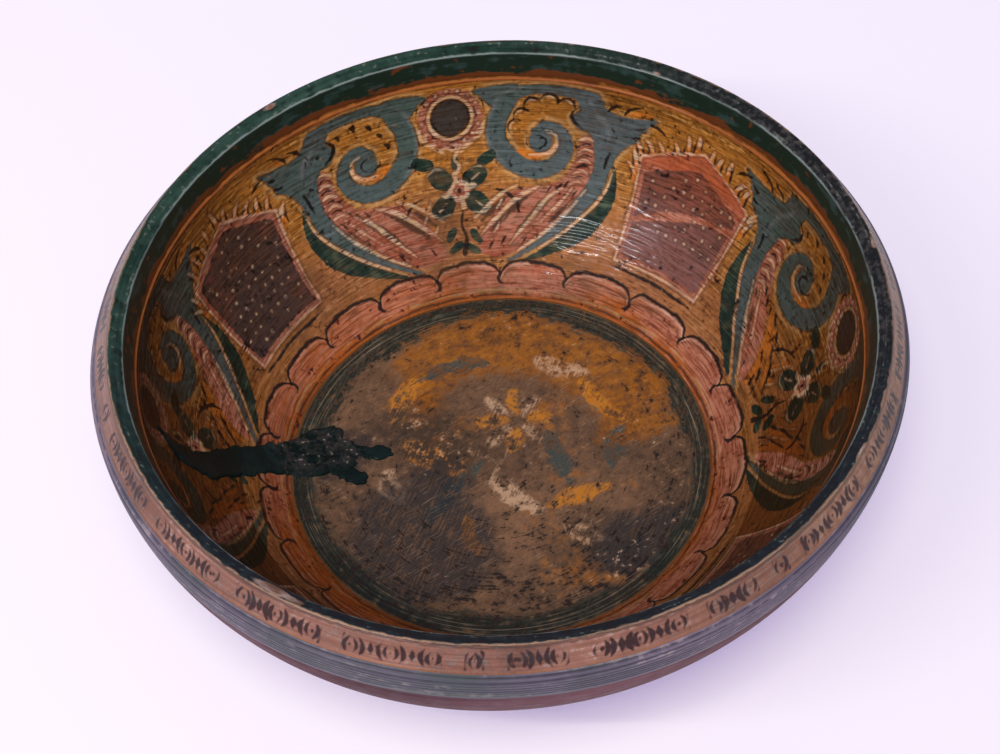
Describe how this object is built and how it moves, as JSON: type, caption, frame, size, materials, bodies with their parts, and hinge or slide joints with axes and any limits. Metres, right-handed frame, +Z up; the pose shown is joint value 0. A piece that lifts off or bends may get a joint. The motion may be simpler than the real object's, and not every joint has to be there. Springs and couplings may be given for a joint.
{
  "type": "painted wooden ale bowl",
  "caption": "Wide turned wooden ale bowl on a low foot ring, slightly oval from drying, painted inside and out, with a crack inside filled with pitch.",
  "frame": {"origin": "on the surface that the bowl stands on, under the middle of the foot ring", "axes": "+Z up, -Y towards the viewer in the picture, +X to the viewer's right; the cracked side is at -X"},
  "size_m": [0.3724, 0.387, 0.1257],
  "materials": {
    "painted_wood": "worn oil paint and varnish on turned birch",
    "pitch": "old wood pitch, lumpy and glossy"
  },
  "bodies": {
    "root": {"bowl": "painted_wood", "pitch_fill": "pitch"}
  },
  "joints": []
}
